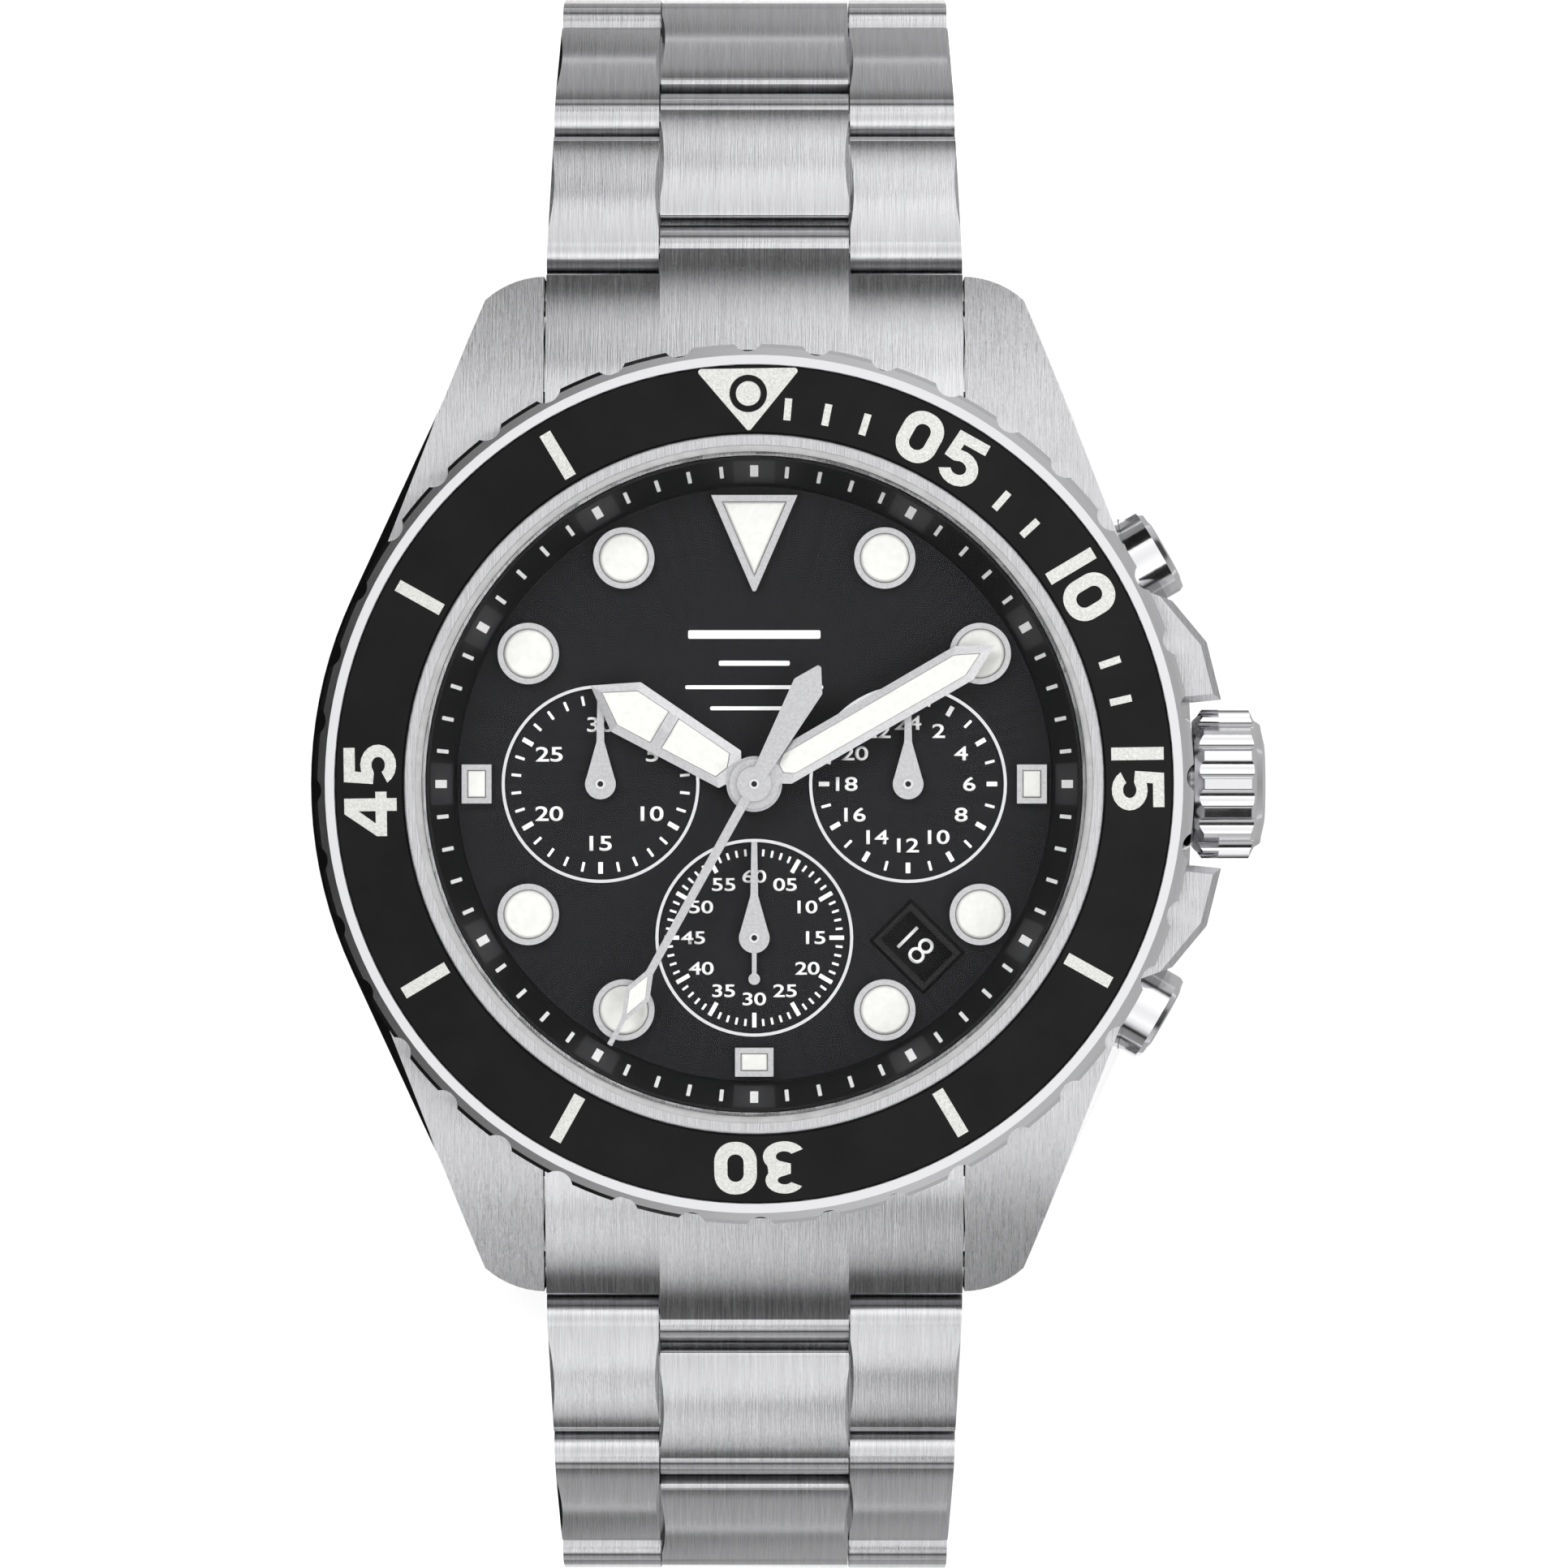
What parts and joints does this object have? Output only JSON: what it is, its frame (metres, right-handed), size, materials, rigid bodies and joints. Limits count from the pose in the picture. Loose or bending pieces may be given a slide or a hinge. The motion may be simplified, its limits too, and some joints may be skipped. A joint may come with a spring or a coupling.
{
  "type": "wrist watch",
  "caption": "Steel chronograph dive watch with a turning bezel, black dial with sub-dials, crown, push-pieces and a hinged link bracelet with folding clasp.",
  "frame": {"origin": "centre of the case back's flat outer face", "axes": "+Z out of the dial, +Y towards 12 o'clock, +X towards the crown at 3 o'clock"},
  "size_m": [0.0502, 0.085, 0.0509],
  "materials": {
    "brushed_steel": "satin brushed stainless steel",
    "polished_steel": "mirror polished stainless steel",
    "satin_silver": "satin silver plated brass",
    "black_insert": "black anodised aluminium",
    "black_dial": "matt black paint",
    "black_flange": "satin black plastic",
    "mineral_glass": "clear polished mineral glass",
    "seal_rubber": "matt black nitrile rubber",
    "movement_plate": "nickel plated brass",
    "holder_plastic": "moulded white plastic",
    "circuit_green": "solder-masked circuit board",
    "copper_coil": "enamelled copper winding"
  },
  "bodies": {
    "case": {"case_middle": "brushed_steel", "case_back": "brushed_steel", "case_back_gasket": "seal_rubber", "crystal": "mineral_glass", "crystal_gasket": "seal_rubber", "flange_ring": "black_flange", "dial": "black_dial", "hour_markers": "satin_silver", "subdial_rings": "polished_steel", "date_window_frame": "satin_silver", "main_plate": "movement_plate", "train_bridge": "movement_plate", "movement_holder": "holder_plastic", "circuit_board": "circuit_green", "motor_coils": "copper_coil", "battery": "polished_steel", "battery_clamp": "brushed_steel", "crown_tube": "brushed_steel", "pusher_tubes": "brushed_steel", "pusher_springs": "polished_steel", "bezel_click_spring": "brushed_steel", "bezel_retaining_ring": "polished_steel", "end_links": "brushed_steel", "spring_bars": "brushed_steel"},
    "bezel": {"bezel_ring": "polished_steel", "bezel_insert": "black_insert"},
    "setting_lever": {"setting_lever": "brushed_steel"},
    "crown": {"crown": "polished_steel", "crown_stem": "polished_steel"},
    "pusher_upper": {"pusher_upper": "polished_steel"},
    "pusher_lower": {"pusher_lower": "polished_steel"},
    "minute_hand": {"minute_hand": "satin_silver"},
    "hour_hand": {"hour_hand": "satin_silver", "hour_wheel": "movement_plate"},
    "chronograph_seconds_hand": {"chronograph_seconds_hand": "satin_silver"},
    "small_seconds_hand": {"small_seconds_hand": "satin_silver"},
    "chronograph_minutes_hand": {"chronograph_minutes_hand": "satin_silver"},
    "twenty_four_hour_hand": {"twenty_four_hour_hand": "satin_silver"},
    "date_ring": {"date_ring": "black_dial"},
    "clasp_cover": {"clasp_cover": "brushed_steel"},
    "clasp_middle_leaf": {"clasp_middle_leaf": "brushed_steel"},
    "clasp_inner_leaf": {"clasp_inner_leaf": "brushed_steel"},
    "clasp_button_left": {"clasp_button_left": "polished_steel"},
    "clasp_button_right": {"clasp_button_right": "polished_steel"},
    "link_12_1": {"link_12_1": "brushed_steel"},
    "link_12_2": {"link_12_2": "brushed_steel"},
    "link_12_3": {"link_12_3": "brushed_steel"},
    "link_12_4": {"link_12_4": "brushed_steel"},
    "link_12_5": {"link_12_5": "brushed_steel"},
    "link_12_6": {"link_12_6": "brushed_steel"},
    "link_12_7": {"link_12_7": "brushed_steel"},
    "link_12_8": {"link_12_8": "brushed_steel"},
    "link_6_1": {"link_6_1": "brushed_steel"},
    "link_6_2": {"link_6_2": "brushed_steel"},
    "link_6_3": {"link_6_3": "brushed_steel"},
    "link_6_4": {"link_6_4": "brushed_steel"},
    "link_6_5": {"link_6_5": "brushed_steel"},
    "link_6_6": {"link_6_6": "brushed_steel"},
    "link_6_7": {"link_6_7": "brushed_steel"},
    "link_6_8": {"link_6_8": "brushed_steel"}
  },
  "joints": [
    {"name": "bezel_turn", "type": "hinge", "parent": "case", "child": "bezel", "pos_m": [0, 0, 0.0095], "axis": [0, 0, -1], "continuous": true},
    {"name": "crown_pull", "type": "slide", "parent": "case", "child": "setting_lever", "axis": [1, 0, 0], "range_m": [0, 0.001]},
    {"name": "crown_turn", "type": "hinge", "parent": "setting_lever", "child": "crown", "pos_m": [0.02, 0, 0.0045], "axis": [1, 0, 0], "continuous": true},
    {"name": "pusher_upper_press", "type": "slide", "parent": "case", "child": "pusher_upper", "axis": [-0.866, -0.5, 0], "range_m": [0, 0.0007], "stiffness_N_per_m": 1500},
    {"name": "pusher_lower_press", "type": "slide", "parent": "case", "child": "pusher_lower", "axis": [-0.866, 0.5, 0], "range_m": [0, 0.0007], "stiffness_N_per_m": 1500},
    {"name": "minute_hand_turn", "type": "hinge", "parent": "case", "child": "minute_hand", "pos_m": [0, 0, 0.0085], "axis": [0, 0, -1], "continuous": true},
    {"name": "hour_hand_turn", "type": "hinge", "parent": "case", "child": "hour_hand", "pos_m": [0, 0, 0.008], "axis": [0, 0, -1], "continuous": true},
    {"name": "twenty_four_hour_turn", "type": "hinge", "parent": "case", "child": "twenty_four_hour_hand", "pos_m": [0.00802, 0, 0.0075], "axis": [0, 0, -1], "continuous": true},
    {"name": "small_seconds_turn", "type": "hinge", "parent": "case", "child": "small_seconds_hand", "pos_m": [0, -0.00802, 0.0075], "axis": [0, 0, -1], "continuous": true},
    {"name": "chronograph_seconds_turn", "type": "hinge", "parent": "case", "child": "chronograph_seconds_hand", "pos_m": [0, 0, 0.009], "axis": [0, 0, -1], "continuous": true},
    {"name": "chronograph_minutes_turn", "type": "hinge", "parent": "case", "child": "chronograph_minutes_hand", "pos_m": [-0.00802, 0, 0.0075], "axis": [0, 0, -1], "continuous": true},
    {"name": "date_ring_turn", "type": "hinge", "parent": "case", "child": "date_ring", "pos_m": [0, 0, 0.0063], "axis": [0, 0, 1], "continuous": true},
    {"name": "link_12_1_bend", "type": "hinge", "parent": "case", "child": "link_12_1", "pos_m": [0, 0.0281, 0.0035], "axis": [1, 0, 0], "range_deg": [0, 20]},
    {"name": "link_12_2_bend", "type": "hinge", "parent": "link_12_1", "child": "link_12_2", "pos_m": [0, 0.0352, 0.0016], "axis": [1, 0, 0], "range_deg": [0, 34]},
    {"name": "link_12_3_bend", "type": "hinge", "parent": "link_12_2", "child": "link_12_3", "pos_m": [0, 0.04049, -0.00351], "axis": [1, 0, 0], "range_deg": [0, 47]},
    {"name": "link_12_4_bend", "type": "hinge", "parent": "link_12_3", "child": "link_12_4", "pos_m": [0, 0.041, -0.01084], "axis": [1, 0, 0], "range_deg": [0, 15]},
    {"name": "link_12_5_bend", "type": "hinge", "parent": "link_12_4", "child": "link_12_5", "pos_m": [0, 0.04023, -0.01815], "axis": [1, 0, 0], "range_deg": [0, 21]},
    {"name": "link_12_6_bend", "type": "hinge", "parent": "link_12_5", "child": "link_12_6", "pos_m": [0, 0.03748, -0.02497], "axis": [1, 0, 0], "range_deg": [0, 23]},
    {"name": "link_12_7_bend", "type": "hinge", "parent": "link_12_6", "child": "link_12_7", "pos_m": [0, 0.03275, -0.0306], "axis": [1, 0, 0], "range_deg": [0, 23]},
    {"name": "link_12_8_bend", "type": "hinge", "parent": "link_12_7", "child": "link_12_8", "pos_m": [0, 0.02652, -0.03449], "axis": [1, 0, 0], "range_deg": [0, 21]},
    {"name": "link_6_1_bend", "type": "hinge", "parent": "case", "child": "link_6_1", "pos_m": [0, -0.0281, 0.0035], "axis": [-1, 0, 0], "range_deg": [0, 20]},
    {"name": "link_6_2_bend", "type": "hinge", "parent": "link_6_1", "child": "link_6_2", "pos_m": [0, -0.0352, 0.0016], "axis": [-1, 0, 0], "range_deg": [0, 34]},
    {"name": "link_6_3_bend", "type": "hinge", "parent": "link_6_2", "child": "link_6_3", "pos_m": [0, -0.04049, -0.00351], "axis": [-1, 0, 0], "range_deg": [0, 47]},
    {"name": "link_6_4_bend", "type": "hinge", "parent": "link_6_3", "child": "link_6_4", "pos_m": [0, -0.041, -0.01084], "axis": [-1, 0, 0], "range_deg": [0, 15]},
    {"name": "link_6_5_bend", "type": "hinge", "parent": "link_6_4", "child": "link_6_5", "pos_m": [0, -0.04023, -0.01815], "axis": [-1, 0, 0], "range_deg": [0, 21]},
    {"name": "link_6_6_bend", "type": "hinge", "parent": "link_6_5", "child": "link_6_6", "pos_m": [0, -0.03748, -0.02497], "axis": [-1, 0, 0], "range_deg": [0, 23]},
    {"name": "link_6_7_bend", "type": "hinge", "parent": "link_6_6", "child": "link_6_7", "pos_m": [0, -0.03275, -0.0306], "axis": [-1, 0, 0], "range_deg": [0, 23]},
    {"name": "link_6_8_bend", "type": "hinge", "parent": "link_6_7", "child": "link_6_8", "pos_m": [0, -0.02652, -0.03449], "axis": [-1, 0, 0], "range_deg": [0, 21]},
    {"name": "clasp_cover_hinge", "type": "hinge", "parent": "link_6_8", "child": "clasp_cover", "pos_m": [0, -0.01946, -0.03652], "axis": [-1, 0, 0], "range_deg": [-15, 20]},
    {"name": "clasp_fold", "type": "hinge", "parent": "clasp_cover", "child": "clasp_middle_leaf", "pos_m": [0, 0.0162, -0.0375], "axis": [-1, 0, 0], "range_deg": [0, 30]},
    {"name": "clasp_unfold", "type": "hinge", "parent": "clasp_middle_leaf", "child": "clasp_inner_leaf", "pos_m": [0, -0.0145, -0.0368], "axis": [1, 0, 0], "range_deg": [0, 60]},
    {"name": "clasp_button_left_press", "type": "slide", "parent": "clasp_cover", "child": "clasp_button_left", "axis": [1, 0, 0], "range_m": [0, 0.0006], "stiffness_N_per_m": 1500},
    {"name": "clasp_button_right_press", "type": "slide", "parent": "clasp_cover", "child": "clasp_button_right", "axis": [-1, 0, 0], "range_m": [0, 0.0006], "stiffness_N_per_m": 1500}
  ],
  "couplings": [
    {"joint": "hour_hand_turn", "follows": "minute_hand_turn", "ratio": 0.083333},
    {"joint": "twenty_four_hour_turn", "follows": "minute_hand_turn", "ratio": 0.041667},
    {"joint": "small_seconds_turn", "follows": "minute_hand_turn", "ratio": 60},
    {"joint": "chronograph_minutes_turn", "follows": "chronograph_seconds_turn", "ratio": 0.033333},
    {"joint": "clasp_unfold", "follows": "clasp_fold", "ratio": 2}
  ]
}
